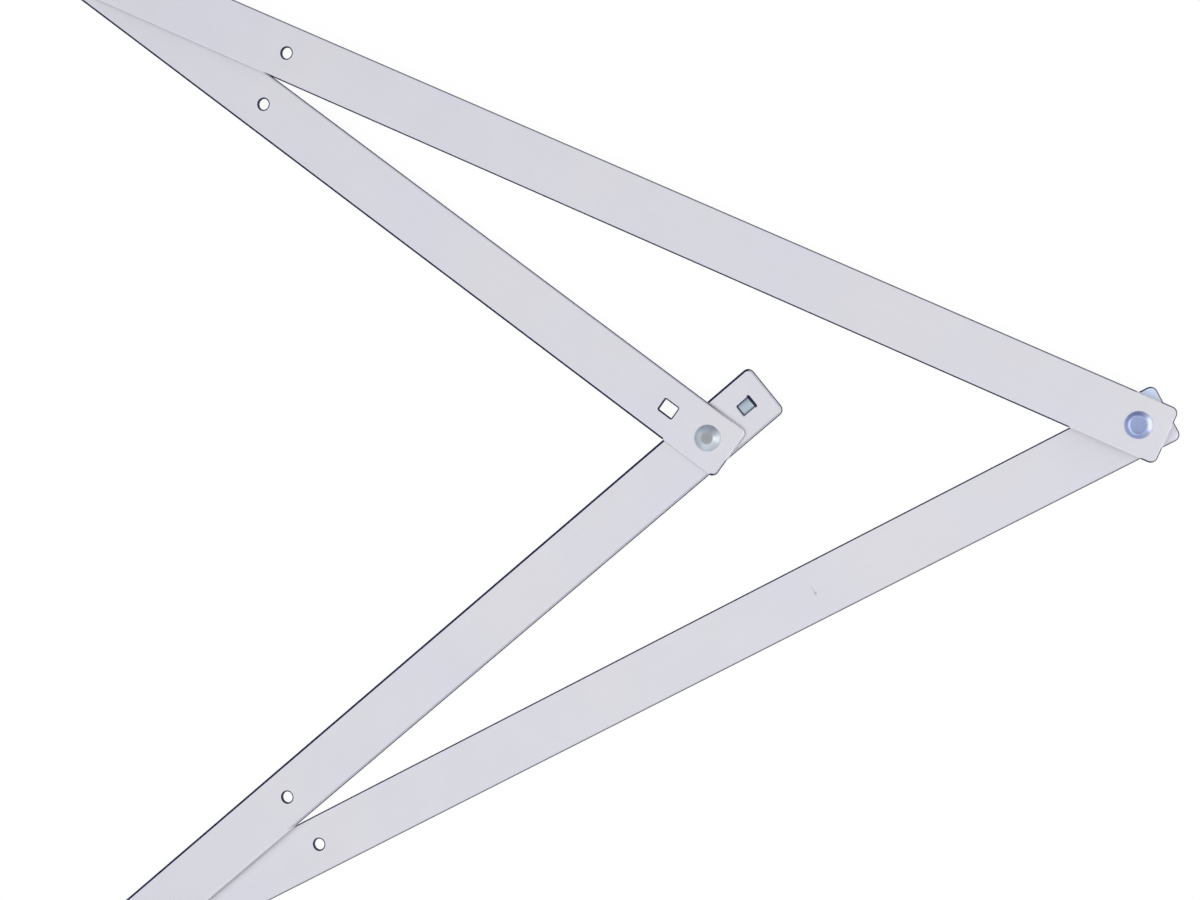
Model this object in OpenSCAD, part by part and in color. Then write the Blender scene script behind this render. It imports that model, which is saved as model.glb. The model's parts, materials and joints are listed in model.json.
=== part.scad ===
// Folding builders square.
// Two flat legs turn on a rivet at the corner. A brace in two halves joins them, folds at its middle
// and locks straight with a spring catch, which sets the legs at a right angle.
// The square lies flat on XY, front face up. From the bottom the bars are the lower leg, the tab brace,
// the plain brace and the upper leg, so that all four can fold on to one line.

/* [Bars] */
// Overall length of each leg
leg_length = 600; // [450:1:900]
// Width of the flat bars
bar_width = 25; // [20:0.5:32]
// Thickness of the flat bars
bar_thickness = 1.5; // [1.4:0.1:3]
// Corner radius where a bar end is rounded
end_radius = 3; // [1:0.5:9]
// How far each leg runs on past its brace pivot
tip_overhang = 50; // [25:1:100]
// Angle between the legs as stored
opening_angle = 51.4; // [35:0.1:75]

/* [Holes] */
// Diameter of the hanging holes, which line up when the square is folded
hang_hole_d = 5; // [3:0.1:8]
// Distance from each outer brace pivot to its hanging hole
hang_hole_offset = 122; // [90:1:150]
// Length of the catch holes, along the brace
catch_hole_length = 7; // [6:0.1:9]
// Distance from the centre rivet to the catch holes
catch_hole_offset = 21.7; // [20:0.1:26]
// From the middle of the tab's catch hole to the tab's end
tab_margin = 12; // [9:0.1:20]

/* [Rivets] */
// Diameter of the rivet shanks
shank_d = 6; // [4.5:0.1:7]
// Radial clearance round a shank
shank_clearance = 0.05; // [0.03:0.01:0.1]
// Diameter of the raised heads where they meet the bar
head_d = 11.5; // [10:0.1:14]
// Height of the square rim below a head's cone
head_rim = 0.3; // [0.2:0.1:0.5]
// Height of the heads on top of the upper leg
leg_head_height = 1.6; // [1:0.1:2.5]
// Flat on top of the heads on the upper leg
leg_head_flat = 7.4; // [5:0.1:8]
// Depth of the shallow dish in the heads on the upper leg
leg_head_dish = 0.3; // [0.1:0.1:0.6]
// Height of the head on the middle of the brace
centre_head_height = 1.4; // [0.7:0.1:2]
// Flat on top of the head on the middle of the brace
centre_head_flat = 5.3; // [4:0.1:8]
// Diameter of the countersunk heads
flush_head_d = 9; // [8:0.1:10]
// Depth of the countersunk heads
flush_head_depth = 1; // [0.6:0.1:1.2]
// Diameter of the formed tails
tail_d = 9.6; // [8:0.1:11]
// Height of the formed tails below the lower leg
tail_height = 0.9; // [0.6:0.1:1.5]
// Height of the centre rivet's formed tail
centre_tail_height = 0.6; // [0.4:0.1:1]
// Diameter of the dimple that a tail is rolled out from
dimple_d = 3.6; // [2:0.1:4]

/* [Washers] */
// Diameter of the washers between the bars, and of the apex spacer
washer_d = 14; // [12:0.5:16]
// Diameter of the back-up washers below the lower leg
tail_washer_d = 12; // [11:0.5:14]
// Thickness of the back-up washers below the lower leg
tail_washer_t = 0.8; // [0.5:0.1:1.5]
// Free play above and below each bar at its pivot
axial_play = 0.05; // [0.03:0.01:0.1]
// Room between stacked bars and the parts that stand out of their neighbours
fold_clearance = 0.3; // [0.2:0.05:0.6]

/* [Catch] */
// Width of the catch button, across the brace
button_width = 5.2; // [4:0.1:6]
// Clearance on each side of the button, across the catch holes
button_clearance = 0.15; // [0.1:0.01:0.3]
// Clearance at each end of the button, along the catch holes
button_end_room = 0.6; // [0.3:0.05:0.9]
// Height of the arch across the button's top
button_arch = 0.6; // [0.4:0.1:1]
// How far the button stands out of the tab as stored
button_proud = 0.2; // [0.1:0.05:0.4]
// Room over the stored button for the plain brace to pass
pass_clearance = 0.2; // [0.15:0.05:0.4]
// How far the button springs up into the plain brace
button_lift = 0.8; // [0.6:0.1:1.2]
// How far the button can be pressed back
button_press = 0.4; // [0.3:0.1:0.6]
// Diameter of the spigot that joins the button to its leaf
spigot_d = 2.5; // [1.5:0.1:3.5]
// Width of the leaf spring
leaf_width = 10; // [9:0.5:14]
// Thickness of the leaf spring
leaf_thickness = 0.3; // [0.2:0.05:0.5]
// Length of the leaf spring past the middle of the button
leaf_tip = 6; // [4:0.1:8]
// Length of the slope where the leaf bends away from the tab
leaf_slope = 7; // [4:0.1:9]

/* [Hidden] */
$fn = 96;

// Linkage: two legs and two brace halves that make a right-angled triangle when the brace is straight
pivot_overhang = bar_width / 2;
leg_pitch = leg_length - pivot_overhang - tip_overhang;
brace_pitch = leg_pitch / sqrt(2);
leg_angle = opening_angle / 2;
brace_angle = asin(sqrt(2) * sin(leg_angle));

// Plan of the pivots, with the origin in the middle of the square's box
corner_inset = bar_width / 2 - end_radius;
apex_reach = corner_inset * (cos(leg_angle) + sin(leg_angle)) + end_radius;
tip_reach = (leg_pitch + tip_overhang - end_radius) * cos(leg_angle)
    + corner_inset * sin(leg_angle) + end_radius;
apex = [(tip_reach - apex_reach) / 2, 0];
upper_pivot = apex + leg_pitch * [-cos(leg_angle), sin(leg_angle)];
lower_pivot = apex + leg_pitch * [-cos(leg_angle), -sin(leg_angle)];
centre_pivot = upper_pivot + brace_pitch * [cos(brace_angle), -sin(brace_angle)];

// Directions of the bars from their first pivot
upper_leg_turn = 180 - leg_angle;
lower_leg_turn = 180 + leg_angle;
plain_brace_turn = 180 - brace_angle;
tab_brace_turn = 180 + brace_angle;

// Gaps between the stacked bars, deep enough for what stands between them when folded
leaf_room = button_lift + leaf_thickness + button_press + fold_clearance;
tail_room = leaf_thickness + axial_play + centre_tail_height + fold_clearance;
lower_gap = max(leaf_room, tail_room);
centre_gap = button_proud + pass_clearance;
upper_gap = axial_play + centre_head_height + fold_clearance;

// Heights of the undersides of the bars
lower_leg_z = tail_height + tail_washer_t + axial_play;
tab_brace_z = lower_leg_z + bar_thickness + lower_gap;
plain_brace_z = tab_brace_z + bar_thickness + centre_gap;
upper_leg_z = plain_brace_z + bar_thickness + upper_gap;

// Fits
bore_d = shank_d + 2 * shank_clearance;
flush_bore_d = flush_head_d + 2 * shank_clearance;
catch_hole_width = button_width + 2 * button_clearance;
button_length = catch_hole_length - 2 * button_end_room;
spigot_hole_d = spigot_d + 2 * shank_clearance;
tab_length = catch_hole_offset + tab_margin;
dimple_depth = tail_height + bar_thickness;
cut_over = 1;

aluminium = [0.85, 0.85, 0.87];
plated_steel = [0.66, 0.66, 0.68];
pivot_nylon = [0.9, 0.9, 0.88];
spring_steel = [0.5, 0.5, 0.53];

// Shared shapes

// Puts a shape at a pivot, turned about it, with its underside at a height
module place(pivot, z, turn = 0) {
    translate([pivot[0], pivot[1], z]) rotate(turn) children();
}

// A bar end: rounded corners at a distance along X, with the bar running back in the given direction
module rounded_end(x, back) {
    translate([x + back * end_radius, 0]) {
        square([2 * end_radius, bar_width - 2 * end_radius], center = true);
        for (side = [-1, 1]) {
            translate([0, side * corner_inset]) circle(r = end_radius);
        }
    }
}

// The straight stretch of a bar between two distances along X
module straight_bar(from, to) {
    translate([from, -bar_width / 2]) square([to - from, bar_width]);
}

// A round hole right through a bar
module drill(x, d) {
    translate([x, 0, -cut_over]) cylinder(d = d, h = bar_thickness + 2 * cut_over);
}

// A countersink that opens at the top of a bar
module countersink_top(x) {
    translate([x, 0, bar_thickness - flush_head_depth]) {
        cylinder(d1 = bore_d, d2 = flush_bore_d, h = flush_head_depth);
        translate([0, 0, flush_head_depth]) cylinder(d = flush_bore_d, h = cut_over);
    }
}

// A countersink that opens at the underside of a bar
module countersink_bottom(x) {
    translate([0, 0, bar_thickness]) mirror([0, 0, 1]) countersink_top(x);
}

// The rectangular hole that the catch button works in
module catch_hole(x) {
    translate([x - catch_hole_length / 2, -catch_hole_width / 2, -cut_over]) {
        cube([catch_hole_length, catch_hole_width, bar_thickness + 2 * cut_over]);
    }
}

// A leg from the apex, at the left here, to its tip
module leg() {
    tip = leg_pitch + tip_overhang;
    difference() {
        linear_extrude(bar_thickness) {
            rounded_end(-pivot_overhang, 1);
            straight_bar(end_radius - pivot_overhang, tip - end_radius);
            rounded_end(tip, -1);
        }
        drill(0, bore_d);
        drill(leg_pitch, bore_d);
        drill(leg_pitch - hang_hole_offset, hang_hole_d);
    }
}

// A ring washer
module washer(d, thickness) {
    difference() {
        cylinder(d = d, h = thickness);
        translate([0, 0, -cut_over]) cylinder(d = bore_d, h = thickness + 2 * cut_over);
    }
}

// Half outline of a raised head above a height: a low rim, a cone and a flat top
function raised_head(z, height, flat) = [
    [shank_d / 2, z],
    [head_d / 2, z],
    [head_d / 2, z + head_rim],
    [flat / 2, z + height],
    [0, z + height]
];

// Half outline of a head on the upper leg, whose flat is dished
function leg_head(z) = concat(
    [for (point = raised_head(z, leg_head_height, leg_head_flat)) if (point[0] > 0) point],
    [[leg_head_flat / 2 - leg_head_dish, z + leg_head_height - leg_head_dish],
     [0, z + leg_head_height - leg_head_dish]]
);

// Half outline of a rolled tail that ends at a height of zero, with its dimple
function rolled_tail(height, depth) = [
    [0, depth],
    [dimple_d / 2, depth],
    [dimple_d / 2, 0],
    [tail_d / 2 - height / 3, 0],
    [tail_d / 2, height / 3],
    [tail_d / 2, height],
    [shank_d / 2, height]
];

// Bars

module lower_leg() {
    color(aluminium) place(apex, lower_leg_z, lower_leg_turn) leg();
}

module upper_leg() {
    color(aluminium) place(apex, upper_leg_z, upper_leg_turn) leg();
}

module plain_brace() {
    color(aluminium) place(centre_pivot, plain_brace_z, plain_brace_turn) difference() {
        linear_extrude(bar_thickness) {
            rounded_end(-pivot_overhang, 1);
            straight_bar(end_radius - pivot_overhang, brace_pitch);
            translate([brace_pitch, 0]) circle(d = bar_width);
        }
        drill(0, bore_d);
        drill(brace_pitch, bore_d);
        countersink_bottom(brace_pitch);
        drill(brace_pitch - hang_hole_offset, hang_hole_d);
        catch_hole(catch_hole_offset);
    }
}

module tab_brace() {
    color(aluminium) place(centre_pivot, tab_brace_z, tab_brace_turn) difference() {
        linear_extrude(bar_thickness) {
            rounded_end(-tab_length, 1);
            straight_bar(end_radius - tab_length, brace_pitch);
            translate([brace_pitch, 0]) circle(d = bar_width);
        }
        drill(0, bore_d);
        drill(brace_pitch, bore_d);
        countersink_top(brace_pitch);
        drill(brace_pitch - hang_hole_offset, hang_hole_d);
        catch_hole(-catch_hole_offset);
    }
}

// Apex pivot

module apex_rivet() {
    head_z = upper_leg_z + bar_thickness + axial_play;
    color(plated_steel) place(apex, 0) rotate_extrude() {
        polygon(concat(rolled_tail(tail_height, dimple_depth), leg_head(head_z)));
    }
}

module apex_spacer() {
    from = lower_leg_z + bar_thickness + axial_play;
    color(plated_steel) place(apex, from) washer(washer_d, upper_leg_z - axial_play - from);
}

module apex_tail_washer() {
    color(plated_steel) place(apex, tail_height) washer(tail_washer_d, tail_washer_t);
}

// Pivot of the lower leg and the tab brace: its head is flush, because the plain brace folds over it

module lower_rivet() {
    top = tab_brace_z + bar_thickness;
    color(plated_steel) place(lower_pivot, 0) rotate_extrude() {
        polygon(concat(
            rolled_tail(tail_height, dimple_depth),
            [[shank_d / 2, top - flush_head_depth], [flush_head_d / 2, top], [0, top]]
        ));
    }
}

module lower_washer() {
    from = lower_leg_z + bar_thickness + axial_play;
    color(pivot_nylon) place(lower_pivot, from) washer(washer_d, lower_gap - 2 * axial_play);
}

module lower_tail_washer() {
    color(plated_steel) place(lower_pivot, tail_height) washer(tail_washer_d, tail_washer_t);
}

// Pivot in the middle of the brace: its tail also holds the leaf spring

module centre_rivet() {
    tail_z = tab_brace_z - leaf_thickness - axial_play - centre_tail_height;
    head_z = plain_brace_z + bar_thickness + axial_play - tail_z;
    color(plated_steel) place(centre_pivot, tail_z) rotate_extrude() {
        polygon(concat(
            rolled_tail(centre_tail_height, dimple_depth),
            raised_head(head_z, centre_head_height, centre_head_flat)
        ));
    }
}

module centre_washer() {
    from = tab_brace_z + bar_thickness + axial_play;
    color(pivot_nylon) place(centre_pivot, from) washer(washer_d, centre_gap - 2 * axial_play);
}

// Pivot of the upper leg and the plain brace: the rivet is parted just above the brace

module upper_rivet() {
    end_z = plain_brace_z + bar_thickness + axial_play;
    head_z = upper_leg_z + bar_thickness - end_z;
    color(plated_steel) place(upper_pivot, end_z) rotate_extrude() {
        polygon(concat([[0, 0], [shank_d / 2, 0]], leg_head(head_z)));
    }
}

module upper_rivet_tail() {
    color(plated_steel) place(upper_pivot, plain_brace_z) rotate_extrude() {
        polygon([
            [0, 0],
            [flush_head_d / 2, 0],
            [shank_d / 2, flush_head_depth],
            [shank_d / 2, bar_thickness],
            [0, bar_thickness]
        ]);
    }
}

module upper_washer() {
    from = plain_brace_z + bar_thickness + axial_play;
    color(pivot_nylon) place(upper_pivot, from) washer(washer_d, upper_gap - axial_play);
}

// Spring catch

// Side view of the leaf: flat on the tab at the rivet, then sloped away, then flat below the button
module leaf_profile() {
    end = catch_hole_offset + leaf_tip;
    slope_to = catch_hole_offset - button_length / 2;
    slope_from = slope_to - leaf_slope;
    low = -button_lift;
    polygon([
        [-leaf_width / 2, 0],
        [slope_from, 0],
        [slope_to, low],
        [end, low],
        [end, low - leaf_thickness],
        [slope_to, low - leaf_thickness],
        [slope_from, -leaf_thickness],
        [-leaf_width / 2, -leaf_thickness]
    ]);
}

module catch_leaf() {
    depth = button_lift + leaf_thickness;
    straight = catch_hole_offset + leaf_tip - leaf_width / 2;
    color(spring_steel) place(centre_pivot, tab_brace_z, tab_brace_turn + 180) difference() {
        intersection() {
            rotate([90, 0, 0]) linear_extrude(leaf_width + 2 * cut_over, center = true) leaf_profile();
            translate([0, 0, -depth - cut_over]) linear_extrude(depth + 2 * cut_over) {
                circle(d = leaf_width);
                translate([0, -leaf_width / 2]) square([straight, leaf_width]);
                translate([straight, 0]) circle(d = leaf_width);
            }
        }
        translate([0, 0, -depth - cut_over]) cylinder(d = bore_d, h = depth + 2 * cut_over);
        translate([catch_hole_offset, 0, -depth - cut_over]) {
            cylinder(d = spigot_hole_d, h = depth + 2 * cut_over);
        }
    }
}

// A block that fills the catch hole's width. Its arched top lets the plain brace ride up over it.
module catch_button() {
    seat = -button_lift + axial_play;
    foot = -button_lift - leaf_thickness;
    top = bar_thickness + button_proud;
    arch_r = (pow(button_width / 2, 2) + pow(button_arch, 2)) / (2 * button_arch);
    color(plated_steel) place(centre_pivot, tab_brace_z, tab_brace_turn + 180)
        translate([catch_hole_offset, 0, 0]) {
            translate([0, 0, foot]) cylinder(d = spigot_d, h = seat - foot);
            intersection() {
                translate([-button_length / 2, -button_width / 2, seat]) {
                    cube([button_length, button_width, top - seat]);
                }
                translate([0, 0, top - arch_r]) rotate([0, 90, 0]) {
                    cylinder(r = arch_r, h = button_length + 2 * cut_over, center = true);
                }
            }
        }
}

lower_leg();
tab_brace();
plain_brace();
upper_leg();
apex_rivet();
apex_spacer();
apex_tail_washer();
lower_rivet();
lower_washer();
lower_tail_washer();
centre_rivet();
centre_washer();
upper_rivet();
upper_rivet_tail();
upper_washer();
catch_leaf();
catch_button();
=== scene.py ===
import json
import math

import bmesh
import bpy
from mathutils import Matrix, Vector


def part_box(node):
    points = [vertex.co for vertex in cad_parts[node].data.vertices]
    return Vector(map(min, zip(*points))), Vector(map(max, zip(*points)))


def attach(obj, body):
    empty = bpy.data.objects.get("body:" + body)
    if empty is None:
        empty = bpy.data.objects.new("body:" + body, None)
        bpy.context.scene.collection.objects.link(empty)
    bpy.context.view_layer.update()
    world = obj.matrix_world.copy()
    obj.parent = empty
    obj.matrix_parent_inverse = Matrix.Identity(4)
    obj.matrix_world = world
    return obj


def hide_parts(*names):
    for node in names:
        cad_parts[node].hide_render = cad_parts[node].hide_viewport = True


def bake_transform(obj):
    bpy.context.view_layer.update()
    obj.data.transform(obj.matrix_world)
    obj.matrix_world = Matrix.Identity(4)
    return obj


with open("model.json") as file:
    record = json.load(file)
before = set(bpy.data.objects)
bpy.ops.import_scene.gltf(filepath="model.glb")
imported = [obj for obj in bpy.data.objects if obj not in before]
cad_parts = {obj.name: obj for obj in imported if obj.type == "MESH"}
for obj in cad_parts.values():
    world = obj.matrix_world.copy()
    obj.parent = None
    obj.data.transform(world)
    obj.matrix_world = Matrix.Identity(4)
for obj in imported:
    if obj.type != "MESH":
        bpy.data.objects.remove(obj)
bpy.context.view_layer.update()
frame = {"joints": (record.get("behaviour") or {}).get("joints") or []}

# The folding builders square as photographed: four flat drawn bars, the rivets and washers of their
# four pivots, and the spring catch in the tab. Lengths are in metres.

MM = 0.001

# Sizes of the bars
BAR_WIDTH = 25 * MM
HALF_BAR = BAR_WIDTH / 2
END_RADIUS = 3 * MM
PIVOT_OVERHANG = HALF_BAR
TIP_OVERHANG = 50 * MM
HANG_HOLE = 5 * MM
HANG_OFFSET = 122 * MM
CATCH_LENGTH = 7 * MM
CATCH_WIDTH = 5.5 * MM
CATCH_OFFSET = 21.7 * MM
CATCH_CORNER = 0.35 * MM
TAB_MARGIN = 12 * MM
TAB_OVERHANG = CATCH_OFFSET + TAB_MARGIN
# The round end of a brace stops a hair short of a half circle, so that its two corners stay apart
BRACE_END_RADIUS = HALF_BAR - 0.05 * MM

# How the press tool left the edges of the sheet: a soft roll on the face, wider on the braces than
# on the legs, and a slight break on the back
ROLL_WIDTH = {
    "upper_leg": 0.6 * MM,
    "lower_leg": 0.6 * MM,
    "plain_brace": 0.85 * MM,
    "tab_brace": 1 * MM,
}
HOLE_ROLL_WIDTH = 0.6 * MM
ROLL_DEPTH = 0.3 * MM
BREAK = 0.15 * MM

# Sizes of the rivets and washers
SHANK = 6 * MM
BORE = 6.1 * MM
FLUSH_HEAD = 9 * MM
FLUSH_DEPTH = 1 * MM
FLUSH_BORE = 9.1 * MM
HEAD = 11.5 * MM
HEAD_RIM = 0.3 * MM
LEG_HEAD_HEIGHT = 1.6 * MM
LEG_HEAD_FLAT = 7.4 * MM
LEG_HEAD_DISH = 0.3 * MM
LIP_WIDTH = 0.7 * MM
LIP_DROP = 0.35 * MM
CENTRE_HEAD_HEIGHT = 1.4 * MM
CENTRE_HEAD_FLAT = 5.3 * MM
TAIL = 9.6 * MM
TAIL_HEIGHT = 0.9 * MM
CENTRE_TAIL_HEIGHT = 0.6 * MM
DIMPLE = 3.6 * MM
DIMPLE_DEPTH = 2.4 * MM
DIMPLE_EASE = 0.3 * MM
WASHER = 14 * MM
TAIL_WASHER = 12 * MM

# Broken edges of the rivets and washers
LEG_HEAD_EASE = 0.22 * MM
CENTRE_HEAD_EASE = 0.16 * MM
FLUSH_EASE = 0.12 * MM
WASHER_EASE = 0.25 * MM
TAIL_WASHER_EASE = 0.2 * MM
THIN_WASHER_EASE = 0.1 * MM

# Sizes of the spring catch
BUTTON_WIDTH = 5.2 * MM
BUTTON_LENGTH = 5.8 * MM
BUTTON_ARCH = 0.6 * MM
BUTTON_EASE = 0.2 * MM
BUTTON_LIFT = 0.8 * MM
SPIGOT = 2.5 * MM
SPIGOT_ROOT = 0.2 * MM
SPIGOT_PLAY = 0.1 * MM
SPIGOT_HOLE = SPIGOT + SPIGOT_PLAY
LEAF_WIDTH = 10 * MM
LEAF_THICKNESS = 0.3 * MM
LEAF_TIP = 6 * MM
LEAF_SLOPE = 7 * MM
LEAF_PLAY = 0.05 * MM
LEAF_SLOPE_END = CATCH_OFFSET - BUTTON_LENGTH / 2
LEAF_SLOPE_START = LEAF_SLOPE_END - LEAF_SLOPE

# How many straight steps stand for a round or bent stretch
END_STEPS = 14
CATCH_STEPS = 5
HOLE_STEPS = 56
ROLL_STEPS = 4
BREAK_STEPS = 3
EASE_STEPS = 4
TURNED_STEPS = 72
ARCH_STEPS = 12
SPIGOT_STEPS = 32
LEAF_END_STEPS = 24
LEAF_SIDE_STEPS = 30
LEAF_HOLE_STEPS = 48

# Points closer than this are welded
BAR_WELD = 0.01 * MM
TURNED_WELD = 0.002 * MM
MESH_WELD = 0.001 * MM

# How much of a face's normal points up or down: more than the first on a flat face, and less than
# the second on a side
FLAT_SHARE = 0.999
SIDE_SHARE = 0.1

# Edges that turn by more than this look sharp
TURNED_CREASE = math.radians(50)
PRESSED_CREASE = math.radians(40)

# Pivots and heights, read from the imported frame
hinge_place = {
    joint["name"]: Vector(joint["pos_m"])
    for joint in frame["joints"]
    if joint["type"] == "hinge"
}
apex = hinge_place["apex_unfold"]
centre = hinge_place["centre_unfold"]
lower = hinge_place["lower_unfold"]
upper_rivet_low, upper_rivet_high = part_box("upper_rivet")
upper = (upper_rivet_low + upper_rivet_high) / 2


def underside(node):
    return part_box(node)[0].z


def topside(node):
    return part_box(node)[1].z


def run_of(start, end):
    """Length of a bar between two pivots, and its direction."""
    run = (end - start).to_2d()
    return run.length, math.atan2(run.y, run.x)


def quarter_turn(steps):
    """Angles of a quarter turn, in even steps from zero."""
    return [math.radians(90 * step / steps) for step in range(steps + 1)]


def arc(middle, radius, start, sweep, steps):
    """Points round a place on the X axis, from one angle and through another, in degrees."""
    leans = [math.radians(start + sweep * step / steps) for step in range(steps + 1)]
    return [(middle + radius * math.cos(lean), radius * math.sin(lean)) for lean in leans]


# Node trees


def plug(tree, node, key, value):
    """Feeds a node's input with another node, a socket or a plain value."""
    socket = node.inputs[key]
    if isinstance(value, bpy.types.Node):
        value = next(output for output in value.outputs if output.enabled)
    if isinstance(value, bpy.types.NodeSocket):
        tree.links.new(value, socket)
    else:
        socket.default_value = value


def add(tree, kind, feeds=None, **settings):
    node = tree.nodes.new(kind)
    for name, value in settings.items():
        setattr(node, name, value)
    for key, value in (feeds or {}).items():
        plug(tree, node, key, value)
    return node


def calc(tree, operation, first, second):
    return add(tree, "ShaderNodeMath", {0: first, 1: second}, operation=operation)


def size_of(tree, value):
    """A value without its sign."""
    return add(tree, "ShaderNodeMath", {0: value}, operation="ABSOLUTE")


def along_x(tree, distance):
    return add(tree, "ShaderNodeCombineXYZ", {"X": distance})


def join(tree, *pieces):
    joined = add(tree, "GeometryNodeJoinGeometry")
    for piece in pieces:
        plug(tree, joined, 0, piece)
    return joined


SOCKET_KINDS = {
    "size": "NodeSocketFloat",
    "count": "NodeSocketInt",
    "choice": "NodeSocketBool",
    "place": "NodeSocketVector",
    "finish": "NodeSocketMaterial",
}


def new_tree(name, inputs):
    tree = bpy.data.node_groups.new(name, "GeometryNodeTree")
    tree.is_modifier = True
    tree.interface.new_socket("Outline", in_out="INPUT", socket_type="NodeSocketGeometry")
    for label, kind in inputs:
        tree.interface.new_socket(label, in_out="INPUT", socket_type=SOCKET_KINDS[kind])
    tree.interface.new_socket("Piece", in_out="OUTPUT", socket_type="NodeSocketGeometry")
    given = tree.nodes.new("NodeGroupInput").outputs
    result = tree.nodes.new("NodeGroupOutput")
    return tree, given, result


def bar_outline(tree, given):
    """Outline of a bar in plan, along X from its near pivot, with rounded ends."""
    reach = calc(tree, "ADD", given["Pitch"], given["Far Overhang"])
    length = calc(tree, "ADD", reach, given["Near Overhang"])
    middle = calc(tree, "DIVIDE", calc(tree, "SUBTRACT", reach, given["Near Overhang"]), 2)
    blank = add(tree, "GeometryNodeCurvePrimitiveQuadrilateral",
                {"Width": length, "Height": given["Width"]}, mode="RECTANGLE")
    spot = add(tree, "ShaderNodeSeparateXYZ", {0: add(tree, "GeometryNodeInputPosition")})
    far_end = add(tree, "FunctionNodeCompare", {0: spot.outputs["X"], 1: 0.0},
                  data_type="FLOAT", operation="GREATER_THAN")
    corner = add(tree, "GeometryNodeSwitch",
                 {"Switch": far_end, "False": given["Near Radius"], "True": given["Far Radius"]},
                 input_type="FLOAT")
    rounded = add(tree, "GeometryNodeFilletCurve",
                  {"Curve": blank, "Radius": corner, "Count": END_STEPS}, mode="POLY")
    outline = add(tree, "GeometryNodeTransform",
                  {"Geometry": rounded, "Translation": along_x(tree, middle)})
    return add(tree, "GeometryNodeSetCurveNormal", {"Curve": outline}, mode="Z_UP")


def bar_holes(tree, given):
    """Holes of a bar in plan: two bores, the hanging hole and, on a brace, the catch hole."""

    def round_hole(distance, diameter):
        ring = add(tree, "GeometryNodeCurvePrimitiveCircle",
                   {"Resolution": HOLE_STEPS, "Radius": calc(tree, "DIVIDE", diameter, 2)})
        return add(tree, "GeometryNodeTransform",
                   {"Geometry": ring, "Translation": along_x(tree, distance)})

    slot = add(tree, "GeometryNodeCurvePrimitiveQuadrilateral",
               {"Width": given["Catch Length"], "Height": given["Catch Width"]}, mode="RECTANGLE")
    slot = add(tree, "GeometryNodeFilletCurve",
               {"Curve": slot, "Radius": given["Catch Corner"], "Count": CATCH_STEPS}, mode="POLY")
    slot = add(tree, "GeometryNodeTransform",
               {"Geometry": slot, "Translation": along_x(tree, given["Catch Place"])})
    slot = add(tree, "GeometryNodeSwitch", {"Switch": given["Has Catch"], "True": slot},
               input_type="GEOMETRY")
    holes = join(tree,
                 round_hole(0.0, given["Near Bore"]),
                 round_hole(given["Pitch"], given["Far Bore"]),
                 round_hole(given["Hang Place"], given["Hang Hole"]),
                 slot)
    return add(tree, "GeometryNodeSetCurveNormal", {"Curve": holes}, mode="Z_UP")


def bar_skin(tree, given, outline, holes):
    """Closed skin of a bar: its edge carried along the outline and the holes, a face and a back."""
    edge = add(tree, "GeometryNodeMeshToCurve", {"Mesh": given["Outline"]})
    mirrored = calc(tree, "MULTIPLY", given["Hole Share"], -1.0)
    turned_inwards = add(tree, "ShaderNodeCombineXYZ", {"X": mirrored, "Y": 1.0, "Z": 1.0})
    hole_edge = add(tree, "GeometryNodeTransform", {"Geometry": edge, "Scale": turned_inwards})
    rim = add(tree, "GeometryNodeCurveToMesh", {"Curve": outline, "Profile Curve": edge})
    hole_rims = add(tree, "GeometryNodeCurveToMesh", {"Curve": holes, "Profile Curve": hole_edge})
    outward = add(tree, "ShaderNodeVectorMath",
                  {0: add(tree, "GeometryNodeInputTangent"), 1: (0, 0, 1)},
                  operation="CROSS_PRODUCT")

    def drawn_in(curve, inset, sign):
        shift = add(tree, "ShaderNodeVectorMath",
                    {0: outward, "Scale": calc(tree, "MULTIPLY", inset, sign)}, operation="SCALE")
        return add(tree, "GeometryNodeSetPosition", {"Geometry": curve, "Offset": shift})

    def sheet(inset, height):
        lines = join(tree,
                     drawn_in(outline, inset, -1.0),
                     drawn_in(holes, inset, given["Hole Share"]))
        flat = add(tree, "GeometryNodeFillCurve", {"Curve": lines}, mode="TRIANGLES")
        rise = add(tree, "ShaderNodeCombineXYZ", {"Z": height})
        return add(tree, "GeometryNodeTransform", {"Geometry": flat, "Translation": rise})

    face = sheet(given["Face Inset"], given["Thickness"])
    back = sheet(given["Back Inset"], 0.0)
    whole = join(tree, rim, hole_rims, face, back)
    return add(tree, "GeometryNodeMergeByDistance", {"Geometry": whole, "Distance": BAR_WELD})


def bar_finishes(tree, given, bar):
    """Gives the flat faces, the rolled edges and the sheared sides of a bar their own finish."""
    facing = add(tree, "ShaderNodeSeparateXYZ", {0: add(tree, "GeometryNodeInputNormal")})
    upright = size_of(tree, facing.outputs["Z"])
    bar = add(tree, "GeometryNodeSetMaterial", {"Geometry": bar, "Material": given["Face"]})
    for finish, share in (("Arris", FLAT_SHARE), ("Side", SIDE_SHARE)):
        bar = add(tree, "GeometryNodeSetMaterial",
                  {"Geometry": bar, "Selection": calc(tree, "LESS_THAN", upright, share),
                   "Material": given[finish]})
    return bar


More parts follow.
